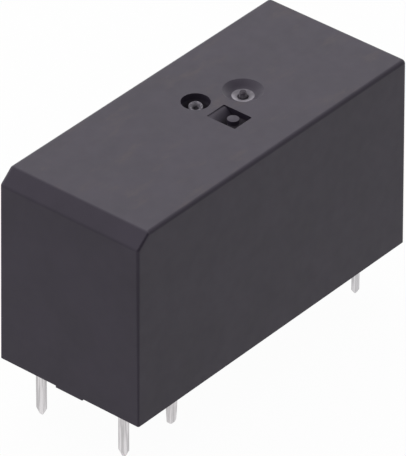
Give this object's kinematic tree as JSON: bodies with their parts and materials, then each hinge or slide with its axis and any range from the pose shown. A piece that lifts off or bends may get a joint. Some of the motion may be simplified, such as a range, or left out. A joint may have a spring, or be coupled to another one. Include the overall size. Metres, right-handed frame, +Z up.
{
  "type": "sealed circuit board power relay",
  "caption": "Sealed box-shaped power relay with its make contact at the bevelled end, its coil at the other, pins below and three wells in the roof.",
  "frame": {"origin": "centre of the footprint, at the level of the pin tips", "axes": "+X from the bevelled contact end to the coil end, +Z up towards the roof, +Y across the relay"},
  "size_m": [0.029, 0.0126, 0.0199],
  "materials": {
    "cover_plastic": "fine matt moulded surface",
    "base_plastic": "matt moulded surface",
    "resin": "glossy, poured",
    "bobbin_plastic": "matt moulded surface",
    "copper_winding": "enamelled copper wire",
    "magnet_iron": "satin, plated soft iron",
    "spring_steel": "bright rolled sheet",
    "tinned_pins": "tinned, satin",
    "tinned_copper": "tinned copper sheet, satin",
    "spring_bronze": "rolled bronze sheet",
    "rivet_copper": "satin",
    "contact_silver": "satin silver alloy",
    "card_plastic": "matt moulded surface"
  },
  "bodies": {
    "housing": {"cover": "cover_plastic", "base": "base_plastic", "sealing_resin": "resin", "bobbin": "bobbin_plastic", "coil_winding": "copper_winding", "core": "magnet_iron", "yoke": "magnet_iron", "hinge_clip": "spring_steel", "coil_pin_front": "tinned_pins", "coil_pin_rear": "tinned_pins", "coil_lead_front": "copper_winding", "coil_lead_rear": "copper_winding", "fixed_contact_plate": "tinned_copper", "fixed_contact": "contact_silver", "spring_carrier": "tinned_copper", "spring_rivets": "rivet_copper"},
    "armature": {"armature": "magnet_iron"},
    "card": {"card": "card_plastic"},
    "moving_contact": {"contact_spring": "spring_bronze", "moving_contact": "contact_silver"}
  },
  "joints": [
    {"name": "card_slide", "type": "slide", "parent": "housing", "child": "card", "axis": [-1, 0, 0], "range_m": [0, 0.000647], "stiffness_N_per_m": 5, "springref_m": -0.0008},
    {"name": "armature_swing", "type": "hinge", "parent": "housing", "child": "armature", "pos_m": [0.0109, 0, 0.0067], "axis": [0, -1, 0], "range_deg": [0, 3.6]},
    {"name": "contact_swing", "type": "hinge", "parent": "housing", "child": "moving_contact", "pos_m": [-0.01094, 0, 0.0084], "axis": [0, -1, 0], "range_deg": [0, 4.32], "deforming": ["contact_spring"]}
  ],
  "couplings": [
    {"joint": "armature_swing", "follows": "card_slide", "rad_per_m": 97.087},
    {"joint": "contact_swing", "follows": "card_slide", "rad_per_m": 116.28}
  ]
}
